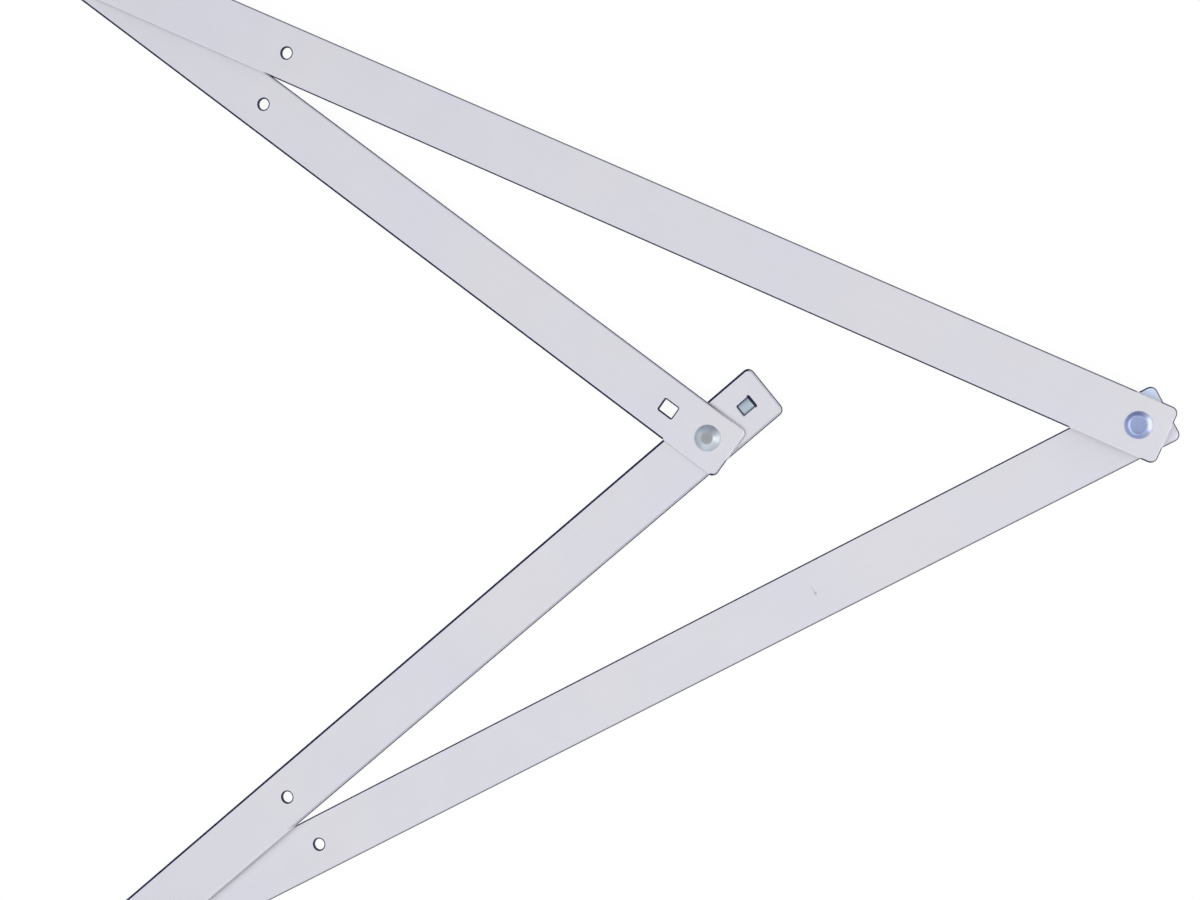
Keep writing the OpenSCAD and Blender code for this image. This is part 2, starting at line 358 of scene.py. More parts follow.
def flat_bar_tree():
    """A flat bar along X with rounded ends, round holes and a catch hole, from its edge outline."""
    tree, given, result = new_tree("flat_bar", [
        ("Pitch", "size"), ("Width", "size"), ("Thickness", "size"),
        ("Near Overhang", "size"), ("Far Overhang", "size"),
        ("Near Radius", "size"), ("Far Radius", "size"),
        ("Near Bore", "size"), ("Far Bore", "size"),
        ("Hang Hole", "size"), ("Hang Place", "size"),
        ("Has Catch", "choice"), ("Catch Place", "size"),
        ("Catch Length", "size"), ("Catch Width", "size"), ("Catch Corner", "size"),
        ("Face Inset", "size"), ("Back Inset", "size"), ("Hole Share", "size"),
        ("Place", "place"), ("Turn", "size"),
        ("Face", "finish"), ("Arris", "finish"), ("Side", "finish"),
    ])
    outline = bar_outline(tree, given)
    holes = bar_holes(tree, given)
    closed = bar_skin(tree, given, outline, holes)
    spin = add(tree, "ShaderNodeCombineXYZ", {"Z": given["Turn"]})
    placed = add(tree, "GeometryNodeTransform",
                 {"Geometry": closed, "Translation": given["Place"], "Rotation": spin})
    real = add(tree, "GeometryNodeRealizeInstances", {"Geometry": placed})
    plug(tree, result, 0, bar_finishes(tree, given, real))
    return tree


# Radius of the circle that carries a turned part's outline. Its outline is drawn from there.
RAIL = 10 * MM


def turned_part_tree():
    """A turned or rolled part: a half outline, its corners eased, carried round an upright axis."""
    tree, given, result = new_tree("turned_part", [
        ("Ease", "size"), ("Steps", "count"), ("Place", "place"), ("Finish", "finish"),
    ])
    half = add(tree, "GeometryNodeMeshToCurve", {"Mesh": given["Outline"]})
    eased = add(tree, "GeometryNodeFilletCurve",
                {"Curve": half, "Radius": given["Ease"], "Limit Radius": True, "Count": EASE_STEPS},
                mode="POLY")
    round_rail = add(tree, "GeometryNodeCurvePrimitiveCircle",
                     {"Resolution": given["Steps"], "Radius": RAIL})
    round_rail = add(tree, "GeometryNodeSetCurveNormal", {"Curve": round_rail}, mode="Z_UP")
    skin = add(tree, "GeometryNodeCurveToMesh", {"Curve": round_rail, "Profile Curve": eased})
    closed = add(tree, "GeometryNodeMergeByDistance", {"Geometry": skin, "Distance": TURNED_WELD})
    placed = add(tree, "GeometryNodeTransform", {"Geometry": closed, "Translation": given["Place"]})
    real = add(tree, "GeometryNodeRealizeInstances", {"Geometry": placed})
    finished = add(tree, "GeometryNodeSetMaterial", {"Geometry": real, "Material": given["Finish"]})
    plug(tree, result, 0, finished)
    return tree


def grow(name, points, closed, tree, inputs):
    """Runs a node tree on an outline and keeps the result as a plain closed mesh."""
    steps = [(i, i + 1) for i in range(len(points) - 1)]
    if closed:
        steps.append((len(points) - 1, 0))
    outline = bpy.data.meshes.new(name + "_outline")
    outline.from_pydata([(x, y, 0) for x, y in points], steps, [])
    seed = bpy.data.objects.new(name + "_outline", outline)
    bpy.context.scene.collection.objects.link(seed)
    form = seed.modifiers.new("form", "NODES")
    form.node_group = tree
    for item in tree.interface.items_tree:
        if item.in_out == "INPUT" and item.name in inputs:
            form[item.identifier] = inputs[item.name]
    depsgraph = bpy.context.evaluated_depsgraph_get()
    mesh = bpy.data.meshes.new_from_object(seed.evaluated_get(depsgraph))
    mesh.name = name
    bpy.data.objects.remove(seed)
    bpy.data.meshes.remove(outline)

    shape = bmesh.new()
    shape.from_mesh(mesh)
    bmesh.ops.remove_doubles(shape, verts=shape.verts, dist=MESH_WELD)
    bmesh.ops.recalc_face_normals(shape, faces=shape.faces)
    for face in shape.faces:
        face.smooth = True
    for line in shape.edges:
        kinds = {face.material_index for face in line.link_faces}
        line.smooth = len(kinds) < 2
    shape.to_mesh(mesh)
    shape.free()
    return mesh


def keep_piece(name, mesh, body, slot, *nodes):
    """Puts a finished mesh in the scene as the piece that stands for some CAD nodes."""
    piece = bpy.data.objects.new(name, mesh)
    bpy.context.scene.collection.objects.link(piece)
    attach(piece, body)
    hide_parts(*nodes)
    return piece


# Colours
ALUMINIUM_COOL = (0.700, 0.685, 0.720)
ALUMINIUM_WARM = (0.722, 0.695, 0.705)
# Painted light at the corners of the lower leg's end: a blue painted shade and a pale painted light
CORNER_BLUE_SHADE = (0.72, 0.84, 1.0)
CORNER_PALE_LIGHT = (0.86, 0.82, 0.89)
# Painted shade: the near-black tones of the rolled edges, their dark outline
EDGE_SHADE_DARK = (0.012, 0.015, 0.05)
EDGE_SHADE_PALE = (0.025, 0.03, 0.08)
SIDE_DULL = (0.78, 0.78, 0.82)
SIDE_PALE = (0.87, 0.86, 0.89)
# Painted shade: the near-black walls of the punched holes
HOLE_WALL_SHADE = (0.04, 0.045, 0.08)
NYLON_DULL = (0.72, 0.71, 0.66)
NYLON_PALE = (0.8, 0.79, 0.75)
BUTTON_COOL = (0.36, 0.42, 0.48)
BUTTON_PALE = (0.43, 0.49, 0.54)
SPRING_DARK = (0.09, 0.10, 0.16)
SPRING_PALE = (0.15, 0.16, 0.22)

# Zinc plating: tones at shares of a head's radius, from the middle
BLUE_ZINC = [(0.0, (0.27, 0.31, 0.47)), (0.55, (0.26, 0.30, 0.46)), (0.63, (0.52, 0.58, 0.85)),
             (1.0, (0.52, 0.58, 0.87))]
GREY_ZINC = [(0.0, (0.28, 0.29, 0.28)), (0.42, (0.30, 0.31, 0.31)), (0.52, (0.58, 0.62, 0.66)),
             (1.0, (0.60, 0.64, 0.68))]
PLAIN_ZINC = [(0.0, (0.58, 0.60, 0.64)), (1.0, (0.62, 0.64, 0.69))]
SMOOTH_PLATING = {"roughness": 0.30, "speckle": 0.05}
DULL_PLATING = {"roughness": 0.34, "speckle": 0.06}

# Patterns in a metre: along a bar, across it and through it
DRAW_LINES = (18, 2600, 60)
DRAW_BANDS = (3, 260, 60)
HAIRLINES = (26, 1100, 60)
SHEAR_MARKS = (1400, 1400, 120)
BUTTON_RUBS = (5200, 160, 160)
ROLLING_LINES = (60, 3000, 60)

# Patterns in a metre that are the same every way
CLOUDS = 14.0
SMUDGES = 55.0
EDGE_BLOTCHES = 180.0
PLATING_WAVES = 420.0
PLATING_FLECKS = 2600.0
NYLON_HAZE = 240.0
MOULD_TEXTURE = 3200.0
BUTTON_BLOTCHES = 620.0
HEAT_TINTS = 90.0
TURNING_RINGS = 26000.0

# How a pattern changes the tone, as a share of it
LINE_TONE = 0.02
BAND_TONE = 0.015
HAIRLINE_TONE = 0.03
RUB_TONE = 0.06
ROLLING_TONE = 0.15

# Where in a pattern's range its soft patches lie, and where it leaves a hairline or a shear mark
PATCHES = (0.35, 0.65)
HAIRLINE_ONSET = (0.74, 0.8)
SHEAR_ONSET = (0.12, 0.4)
HAIRLINE_TURN = 0.35

# The rolled edge carries a painted highlight where it faces the corner of the square, the lit side,
# and turns up this far
HIGHLIGHT_FACING = (0.0, 0.1)
HIGHLIGHT_TILT = (0.95, 0.985)

# Metal share and gloss
SATIN_METAL = 0.65
SIDE_METAL = 0.2
FULL_METAL = 1.0
ARRIS_GLOSS = 0.05
NYLON_GLOW = 0.08
NYLON_GLOW_REACH = (2 * MM, 2 * MM, 1.5 * MM)

# Roughness, at the low and the high end of a pattern
DRAWN_ROUGHNESS = (0.44, 0.52)
SMUDGE_ROUGHNESS = (-0.04, 0.04)
ARRIS_ROUGHNESS = (0.3, 0.44)
SIDE_ROUGHNESS = (0.4, 0.54)
PLATING_ROUGHNESS = (-0.06, 0.08)
NYLON_ROUGHNESS = (0.42, 0.55)
BUTTON_ROUGHNESS = (0.34, 0.46)
SPRING_ROUGHNESS = (0.28, 0.42)

# Height of the finest relief, and how strongly it shows
RELIEF_HEIGHT = 0.02 * MM
DRAWN_RELIEF = 0.12
SHEARED_RELIEF = 0.2
FINE_RELIEF = 0.15
RING_SHARE = 0.35

# How far the painted blue shade and pale painted light reach over a corner, and the soft border of
# a mark
CORNER_TINT_FULL = 9 * MM
CORNER_TINT_GONE = 12 * MM
MARK_FADE = 0.6 * MM


# Finishes


def new_finish(name):
    material = bpy.data.materials.new(name)
    material.use_nodes = True
    tree = material.node_tree
    shader = tree.nodes["Principled BSDF"]
    return material, tree, shader


def object_spot(tree):
    return add(tree, "ShaderNodeTexCoord").outputs["Object"]


def laid_at(tree, place, turn=0.0):
    """Coordinates that start at a pivot, with X along the bar."""
    return add(tree, "ShaderNodeMapping",
               {"Vector": object_spot(tree), "Location": tuple(place), "Rotation": (0, 0, turn)},
               vector_type="TEXTURE")


def in_plan(tree, coords):
    """Coordinates without their height."""
    return add(tree, "ShaderNodeVectorMath", {0: coords, 1: (1, 1, 0)}, operation="MULTIPLY")


def stretched(tree, coords, scale, turn=0.0):
    """Coordinates for a pattern that is finer one way than another."""
    return add(tree, "ShaderNodeMapping",
               {"Vector": coords, "Rotation": (0, 0, turn), "Scale": scale})


def noise(tree, coords, scale=1.0, detail=2.0, roughness=0.5):
    return add(tree, "ShaderNodeTexNoise",
               {"Vector": coords, "Scale": scale, "Detail": detail,
                "Roughness": roughness}).outputs["Fac"]


def spread(tree, value, low, high, start=0.0, end=1.0):
    """Carries a value from one range to another."""
    return add(tree, "ShaderNodeMapRange",
               {"Value": value, "From Min": start, "From Max": end, "To Min": low, "To Max": high})


def about(tree, value, middle, swing):
    """Carries a pattern to a range about a middle."""
    return spread(tree, value, middle - swing, middle + swing)


def rising(tree, value, start, end):
    """Zero up to a start, and one from an end."""
    return spread(tree, value, 0.0, 1.0, start, end)


def fading(tree, distance, full, gone):
    """One up to a distance, and zero from another."""
    return spread(tree, distance, 1.0, 0.0, full, gone)


def overlaid(tree, share, under, colour):
    """Lays a plain colour over another by a share."""
    return add(tree, "ShaderNodeMix", {0: share, 6: under, 7: (*colour, 1)}, data_type="RGBA")


def tinted(tree, share, first, second):
    return overlaid(tree, share, (*first, 1), second)


def shaded(tree, colour, share):
    """Multiplies a colour by a value."""
    return add(tree, "ShaderNodeVectorMath", {0: colour, "Scale": share}, operation="SCALE")


def within(tree, middle, turn, length, width, fade):
    """One inside a box in plan, and zero outside it, fading at its ends."""
    spot = add(tree, "ShaderNodeSeparateXYZ", {0: laid_at(tree, middle, turn)})
    inside = []
    for axis, size, soft in (("X", length, fade), ("Y", width, MARK_FADE)):
        away = size_of(tree, spot.outputs[axis])
        inside.append(fading(tree, away, (size - soft) / 2, (size + soft) / 2))
    return calc(tree, "MULTIPLY", *inside)


def emboss(tree, shader, height, strength=FINE_RELIEF):
    """Gives a surface a fine relief."""
    relief = add(tree, "ShaderNodeBump",
                 {"Height": height, "Strength": strength, "Distance": RELIEF_HEIGHT})
    plug(tree, shader, "Normal", relief)


def drawn_aluminium(name, place, turn, scuffs=(), painted_light_tints=()):
    """Satin flat bar: fine draw lines along the bar, faint clouds, smudges and hairline scratches,
    with scuffs as boxes and depths, and painted light and shade as spots and tints: a blue painted
    shade and a pale painted light."""
    material, tree, shader = new_finish(name)
    coords = laid_at(tree, place, turn)
    flat = in_plan(tree, coords)
    lines = noise(tree, stretched(tree, coords, DRAW_LINES), detail=3.0, roughness=0.6)
    bands = noise(tree, stretched(tree, coords, DRAW_BANDS))
    cloud = noise(tree, coords, CLOUDS)
    smudge = noise(tree, coords, SMUDGES, detail=4.0, roughness=0.6)
    hairlines = noise(tree, stretched(tree, coords, HAIRLINES, HAIRLINE_TURN), detail=1.0)
    scratch = rising(tree, hairlines, *HAIRLINE_ONSET)

    tone = tinted(tree, rising(tree, cloud, *PATCHES), ALUMINIUM_COOL, ALUMINIUM_WARM)
    # Painted light and shade: tints over the corners
    for spot, tint in painted_light_tints:
        away = add(tree, "ShaderNodeVectorMath", {0: flat, 1: (*spot, 0)}, operation="DISTANCE")
        share = fading(tree, away.outputs["Value"], CORNER_TINT_FULL, CORNER_TINT_GONE)
        tone = overlaid(tree, share, tone, tint)
    grain = calc(tree, "ADD", about(tree, lines, 0.0, LINE_TONE),
                 about(tree, bands, 1.0, BAND_TONE))
    worn = calc(tree, "SUBTRACT", grain, calc(tree, "MULTIPLY", scratch, HAIRLINE_TONE))
    for box, depth in scuffs:
        worn = calc(tree, "SUBTRACT", worn, calc(tree, "MULTIPLY", within(tree, *box), depth))
    plug(tree, shader, "Base Color", shaded(tree, tone, worn))
    shader.inputs["Metallic"].default_value = SATIN_METAL
    rough = calc(tree, "ADD", spread(tree, lines, *DRAWN_ROUGHNESS),
                 spread(tree, smudge, *SMUDGE_ROUGHNESS))
    plug(tree, shader, "Roughness", rough)
    emboss(tree, shader, calc(tree, "SUBTRACT", lines, scratch), DRAWN_RELIEF)
    return material


def rolled_arris(name, punched, painted_light_boxes):
    """Rolled edge from the press tool, painted near-black as painted shade: the dark outline of the
    edges. Where it faces the corner of the square, the lit side, its upper half carries a painted
    highlight, except at the punched holes, and it is painted bright where other pieces overlap it,
    as painted light over the shade lines there."""
    material, tree, shader = new_finish(name)
    whereabouts = add(tree, "ShaderNodeTexCoord")
    blotch = noise(tree, whereabouts.outputs["Object"], EDGE_BLOTCHES, detail=3.0, roughness=0.6)
    # Painted shade: the rolled edge is near-black
    tone = tinted(tree, rising(tree, blotch, *PATCHES), EDGE_SHADE_DARK, EDGE_SHADE_PALE)
    facing = add(tree, "ShaderNodeSeparateXYZ", {0: whereabouts.outputs["Normal"]})
    # Painted highlight: the upper half of the roll that faces the corner, the lit side
    to_corner = rising(tree, facing.outputs["X"], *HIGHLIGHT_FACING)
    upper_half = rising(tree, facing.outputs["Z"], *HIGHLIGHT_TILT)
    painted_bright = calc(tree, "MULTIPLY", to_corner, upper_half)
    painted_bright = calc(tree, "MULTIPLY", painted_bright, calc(tree, "SUBTRACT", 1.0, within(tree, *punched)))
    # Painted light: boxes where the edge is painted bright over the shade lines of overlaps
    for box in painted_light_boxes:
        painted_bright = calc(tree, "MAXIMUM", painted_bright, within(tree, *box))
    plug(tree, shader, "Base Color", overlaid(tree, painted_bright, tone, ALUMINIUM_COOL))
    plug(tree, shader, "Metallic", calc(tree, "MULTIPLY", painted_bright, SATIN_METAL))
    shader.inputs["Specular IOR Level"].default_value = ARRIS_GLOSS
    plug(tree, shader, "Roughness", spread(tree, blotch, *ARRIS_ROUGHNESS))
    return material


def sheared_side(name, punched):
    """Side of the sheet: pale where the shear cut it, with short upright marks, and painted
    near-black in the punched holes as painted shade."""
    material, tree, shader = new_finish(name)
    spot = object_spot(tree)
    marks = noise(tree, stretched(tree, spot, SHEAR_MARKS))
    blotch = noise(tree, spot, EDGE_BLOTCHES, detail=3.0, roughness=0.6)
    share = rising(tree, calc(tree, "MULTIPLY", marks, blotch), *SHEAR_ONSET)
    tone = tinted(tree, share, SIDE_DULL, SIDE_PALE)
    # Painted shade: the walls of the punched holes are near-black
    plug(tree, shader, "Base Color", overlaid(tree, within(tree, *punched), tone, HOLE_WALL_SHADE))
    shader.inputs["Metallic"].default_value = SIDE_METAL
    plug(tree, shader, "Roughness", spread(tree, blotch, *SIDE_ROUGHNESS))
    emboss(tree, shader, marks, SHEARED_RELIEF)
    return material


def turned_metal(name, place, stops, roughness, speckle):
    """Plated turned part: its tone follows the radius, with turning rings and plating speckle."""
    material, tree, shader = new_finish(name)
    coords = laid_at(tree, place)
    radius = add(tree, "ShaderNodeVectorMath", {0: in_plan(tree, coords)}, operation="LENGTH")
    radius = radius.outputs["Value"]
    tone = add(tree, "ShaderNodeValToRGB", {"Fac": rising(tree, radius, 0.0, HEAD / 2)})
    ramp = tone.color_ramp
    while len(ramp.elements) < len(stops):
        ramp.elements.new(0.5)
    for element, (share, colour) in zip(ramp.elements, stops):
        element.position = share
        element.color = (*colour, 1)
    rings = add(tree, "ShaderNodeMath", {0: calc(tree, "MULTIPLY", radius, TURNING_RINGS)},
                operation="SINE")
    waves = noise(tree, coords, PLATING_WAVES, detail=3.0, roughness=0.6)
    fleck = noise(tree, coords, PLATING_FLECKS)
    shade = calc(tree, "ADD", about(tree, waves, 1.0, speckle),
                 about(tree, fleck, 0.0, speckle / 2))
    plug(tree, shader, "Base Color", shaded(tree, tone, shade))
    shader.inputs["Metallic"].default_value = FULL_METAL
    less, more = PLATING_ROUGHNESS
    plug(tree, shader, "Roughness", spread(tree, waves, roughness + less, roughness + more))
    emboss(tree, shader, calc(tree, "ADD", spread(tree, rings, 0.0, RING_SHARE, -1.0, 1.0), fleck))
    return material


def moulded_nylon(name):
    """Off-white bearing plastic with a fine matt mould texture."""
    material, tree, shader = new_finish(name)
    spot = object_spot(tree)
    haze = noise(tree, spot, NYLON_HAZE, detail=3.0)
    texture = noise(tree, spot, MOULD_TEXTURE)
    plug(tree, shader, "Base Color", tinted(tree, haze, NYLON_DULL, NYLON_PALE))
    shader.inputs["Subsurface Weight"].default_value = NYLON_GLOW
    shader.inputs["Subsurface Radius"].default_value = NYLON_GLOW_REACH
    plug(tree, shader, "Roughness", spread(tree, texture, *NYLON_ROUGHNESS))
    emboss(tree, shader, texture)
    return material


def tumbled_steel(name, place, turn):
    """Pressed steel, tumbled smooth: cool grey with soft blotches and rub lines across the tab."""
    material, tree, shader = new_finish(name)
    coords = laid_at(tree, place, turn)
    rubs = noise(tree, stretched(tree, coords, BUTTON_RUBS))
    blotch = noise(tree, coords, BUTTON_BLOTCHES, detail=3.0, roughness=0.6)
    tone = tinted(tree, blotch, BUTTON_COOL, BUTTON_PALE)
    plug(tree, shader, "Base Color", shaded(tree, tone, about(tree, rubs, 1.0, RUB_TONE)))
    shader.inputs["Metallic"].default_value = FULL_METAL
    plug(tree, shader, "Roughness", spread(tree, blotch, *BUTTON_ROUGHNESS))
    emboss(tree, shader, rubs)
    return material


def rolled_spring_steel(name, place, turn):
    """Blued spring strip: dark, with long rolling lines and a paler tint in places."""
    material, tree, shader = new_finish(name)
    coords = laid_at(tree, place, turn)
    lines = noise(tree, stretched(tree, coords, ROLLING_LINES), detail=3.0)
    heat = noise(tree, coords, HEAT_TINTS)
    tone = tinted(tree, heat, SPRING_DARK, SPRING_PALE)
    plug(tree, shader, "Base Color", shaded(tree, tone, about(tree, lines, 1.0, ROLLING_TONE)))
    shader.inputs["Metallic"].default_value = FULL_METAL
    plug(tree, shader, "Roughness", spread(tree, lines, *SPRING_ROUGHNESS))
    emboss(tree, shader, lines)
    return material


nylon_finish = moulded_nylon("bearing_nylon")

# Bars

FLAT_BAR = flat_bar_tree()
BAR_RUNS = {
    "upper_leg": (apex, upper),
    "lower_leg": (apex, lower),
    "plain_brace": (centre, upper),
    "tab_brace": (centre, lower),
}


def sheet_edge(thickness, roll_width):
    """Edge of the sheet seen end on: distance outwards, and height below zero."""
    roll = [(roll_width * (math.sin(lean) - 1), ROLL_DEPTH * (1 - math.cos(lean)) - thickness)
            for lean in quarter_turn(ROLL_STEPS)]
    broken = [(BREAK * (math.cos(lean) - 1), -BREAK * (1 - math.sin(lean)))
              for lean in quarter_turn(BREAK_STEPS)]
    return roll + broken


def bar_lie(name):
    """Where a bar starts, its length between pivots, and its direction."""
    start, end = BAR_RUNS[name]
    pitch, turn = run_of(start, end)
    return (start.x, start.y, underside(name)), pitch, turn


def bar_print(name, start, end, left=-HALF_BAR, right=HALF_BAR, fade=MARK_FADE):
    """A box laid on a bar in plan: its middle, direction, length and width, and its ends' fade."""
    place, _, turn = bar_lie(name)
    offset = Vector(((start + end) / 2, (left + right) / 2, 0.0))
    middle = Vector(place) + Matrix.Rotation(turn, 3, "Z") @ offset
    return middle, turn, end - start, right - left, fade


def flat_bar(name, near_overhang, far, bores, painted_light_boxes=(), catch_place=None, scuffs=(), painted_light_tints=()):
    """A bar from its near pivot, with its far end as an overhang and a radius, and its finishes."""
    place, pitch, turn = bar_lie(name)
    thickness = topside(name) - underside(name)
    roll_width = ROLL_WIDTH[name]
    far_overhang, far_radius = far
    near_bore, far_bore = bores
    face = drawn_aluminium("drawn_" + name, place, turn, scuffs, painted_light_tints)
    punched = bar_print(name, END_RADIUS - near_overhang, pitch, -HALF_BAR / 2, HALF_BAR / 2)
    arris = rolled_arris("arris_" + name, punched, painted_light_boxes)
    side = sheared_side("side_" + name, punched)
    mesh = grow(name, sheet_edge(thickness, roll_width), False, FLAT_BAR, {
        "Pitch": pitch, "Width": BAR_WIDTH, "Thickness": thickness,
        "Near Overhang": near_overhang, "Far Overhang": far_overhang,
        "Near Radius": END_RADIUS, "Far Radius": far_radius,
        "Near Bore": near_bore, "Far Bore": far_bore,
        "Hang Hole": HANG_HOLE, "Hang Place": pitch - HANG_OFFSET,
        "Has Catch": catch_place is not None, "Catch Place": catch_place or 0.0,
        "Catch Length": CATCH_LENGTH, "Catch Width": CATCH_WIDTH, "Catch Corner": CATCH_CORNER,
        "Face Inset": roll_width, "Back Inset": BREAK, "Hole Share": HOLE_ROLL_WIDTH / roll_width,
        "Place": place, "Turn": turn,
        "Face": face, "Arris": arris, "Side": side,
    })
    return keep_piece("bar_" + name, mesh, name, "bar_aluminium", name)


leg_tip = (TIP_OVERHANG, END_RADIUS)
brace_end = (HALF_BAR, BRACE_END_RADIUS)
leg_pitch = bar_lie("lower_leg")[1]
brace_pitch = bar_lie("plain_brace")[1]

# Painted light: where the edges of a bar lie over the bars below it, and round the button, they are
# painted bright over the shade lines there
leg_print = bar_print("lower_leg", -PIVOT_OVERHANG, leg_pitch)
under_upper_leg = (bar_print("plain_brace", -PIVOT_OVERHANG, brace_pitch), leg_print)
under_plain_brace = (
    bar_print("tab_brace", start=-9 * MM, end=brace_pitch),
    bar_print("plain_brace", start=-30 * MM, end=1 * MM, left=-13 * MM, right=1.5 * MM,
              fade=14 * MM),
)
under_tab_brace = (
    leg_print,
    bar_print("tab_brace", start=-CATCH_OFFSET - BUTTON_LENGTH / 2, end=-CATCH_OFFSET + 5 * MM,
              left=-HALF_BAR / 2, right=HALF_BAR / 2),
)

# Marks on the lower leg: a short scratch across it with a nick at one end. At its end, painted
# light: a blue painted shade at one corner and a pale painted light at the other
scratch_box = bar_print("lower_leg", start=155.25 * MM, end=155.75 * MM,
                        left=-2.4 * MM, right=1.2 * MM)
nick_box = bar_print("lower_leg", start=154.9 * MM, end=155.9 * MM, left=0.4 * MM, right=1.6 * MM)
SCRATCH_DEPTH = 0.16
NICK_DEPTH = 0.26
# Painted light: a blue painted shade at one corner, a pale painted light at the other
corner_painted_tints = (((-HALF_BAR, -HALF_BAR), CORNER_BLUE_SHADE), ((-HALF_BAR, HALF_BAR), CORNER_PALE_LIGHT))

flat_bar("upper_leg", PIVOT_OVERHANG, leg_tip, (BORE, BORE), painted_light_boxes=under_upper_leg)
flat_bar("lower_leg", PIVOT_OVERHANG, leg_tip, (BORE, BORE), painted_light_tints=corner_painted_tints,
         scuffs=((scratch_box, SCRATCH_DEPTH), (nick_box, NICK_DEPTH)))
flat_bar("plain_brace", PIVOT_OVERHANG, brace_end, (BORE, FLUSH_BORE), painted_light_boxes=under_plain_brace,
         catch_place=CATCH_OFFSET)
flat_bar("tab_brace", TAB_OVERHANG, brace_end, (BORE, FLUSH_BORE), painted_light_boxes=under_tab_brace,
         catch_place=-CATCH_OFFSET)

# Rivets, washers and spacer

TURNED_PART = turned_part_tree()


def turned_part(name, outline, place, ease, finish, body, slot, closed=False):
    """A piece turned about a pivot, from its half outline as radius and height."""
    points = [(radius - RAIL, -height) for radius, height in outline]
    mesh = grow(name, points, closed, TURNED_PART, {
        "Ease": ease, "Steps": TURNED_STEPS, "Place": (place.x, place.y, 0.0), "Finish": finish,
    })
    mesh.set_sharp_from_angle(angle=TURNED_CREASE)
    return keep_piece("turned_" + name, mesh, body, slot, name)


def washer(name, outer, place, ease, finish, body, slot):
    """A ring round the shank of a rivet."""
    low, high = underside(name), topside(name)
    outline = [(BORE / 2, low), (outer / 2, low), (outer / 2, high), (BORE / 2, high)]
    return turned_part(name, outline, place, ease, finish, body, slot, closed=True)


def rolled_tail(rivet, height):
    """Half outline of a tail that was rolled out from a dimple, up to the shank."""
    base = underside(rivet)
    return [
        (0.0, base + DIMPLE_DEPTH),
        (DIMPLE / 2 - DIMPLE_EASE, base + DIMPLE_DEPTH),
        (DIMPLE / 2, base + DIMPLE_EASE),
        (DIMPLE / 2 + DIMPLE_EASE, base),
        (TAIL / 2 - height / 3, base),
        (TAIL / 2, base + height / 3),
        (TAIL / 2, base + height),
        (SHANK / 2, base + height),
    ]


def leg_head(rivet):
    """Half outline of a head on the upper leg: rim, cone, raised lip and shallow dish."""
    top = topside(rivet)
    seat = top - LEG_HEAD_HEIGHT
    return [
        (SHANK / 2, seat),
        (HEAD / 2, seat),
        (HEAD / 2, seat + HEAD_RIM),
        (LEG_HEAD_FLAT / 2 + LIP_WIDTH, top - LIP_DROP),
        (LEG_HEAD_FLAT / 2, top),
        (LEG_HEAD_FLAT / 2 - LEG_HEAD_DISH, top - LEG_HEAD_DISH),
        (0.0, top - LEG_HEAD_DISH),
    ]


def centre_head(rivet):
    """Half outline of the head on the middle of the brace: rim, cone and flat."""
    top = topside(rivet)
    seat = top - CENTRE_HEAD_HEIGHT
    return [
        (SHANK / 2, seat),
        (HEAD / 2, seat),
        (HEAD / 2, seat + HEAD_RIM),
        (CENTRE_HEAD_FLAT / 2, top),
        (0.0, top),
    ]


def flush_head(rivet):
    """Half outline of a countersunk head."""
    top = topside(rivet)
    return [(SHANK / 2, top - FLUSH_DEPTH), (FLUSH_HEAD / 2, top), (0.0, top)]


def plain_foot(rivet):
    """Half outline of a shank that is cut off square."""
    foot = underside(rivet)
    return [(0.0, foot), (SHANK / 2, foot)]


def flush_tail(rivet):
    """Half outline of a countersunk tail with its shank, cut off square at the top."""
    foot, top = underside(rivet), topside(rivet)
    return [
        (0.0, foot),
        (FLUSH_HEAD / 2, foot),
        (SHANK / 2, foot + FLUSH_DEPTH),
        (SHANK / 2, top),
        (0.0, top),
    ]


apex_zinc = turned_metal("blue_zinc_apex", apex, BLUE_ZINC, **SMOOTH_PLATING)
turned_part("apex_rivet", rolled_tail("apex_rivet", TAIL_HEIGHT) + leg_head("apex_rivet"),
            apex, LEG_HEAD_EASE, apex_zinc, "apex_pivot", "rivet_steel")
apex_plain = turned_metal("plain_zinc_apex", apex, PLAIN_ZINC, **DULL_PLATING)
washer("apex_spacer", WASHER, apex, WASHER_EASE, apex_plain, "apex_pivot", "washer_steel")
washer("apex_tail_washer", TAIL_WASHER, apex, TAIL_WASHER_EASE, apex_plain, "apex_pivot",
       "washer_steel")

lower_zinc = turned_metal("plain_zinc_lower", lower, PLAIN_ZINC, **DULL_PLATING)
turned_part("lower_rivet", rolled_tail("lower_rivet", TAIL_HEIGHT) + flush_head("lower_rivet"),
            lower, FLUSH_EASE, lower_zinc, "lower_pivot", "rivet_steel")
washer("lower_washer", WASHER, lower, WASHER_EASE, nylon_finish, "lower_pivot", "washer_nylon")
washer("lower_tail_washer", TAIL_WASHER, lower, TAIL_WASHER_EASE, lower_zinc, "lower_pivot",
       "washer_steel")

centre_zinc = turned_metal("grey_zinc_centre", centre, GREY_ZINC, **DULL_PLATING)
turned_part("centre_rivet",
            rolled_tail("centre_rivet", CENTRE_TAIL_HEIGHT) + centre_head("centre_rivet"),
            centre, CENTRE_HEAD_EASE, centre_zinc, "centre_pivot", "rivet_steel")
washer("centre_washer", WASHER, centre, THIN_WASHER_EASE, nylon_finish, "centre_pivot",
       "washer_nylon")

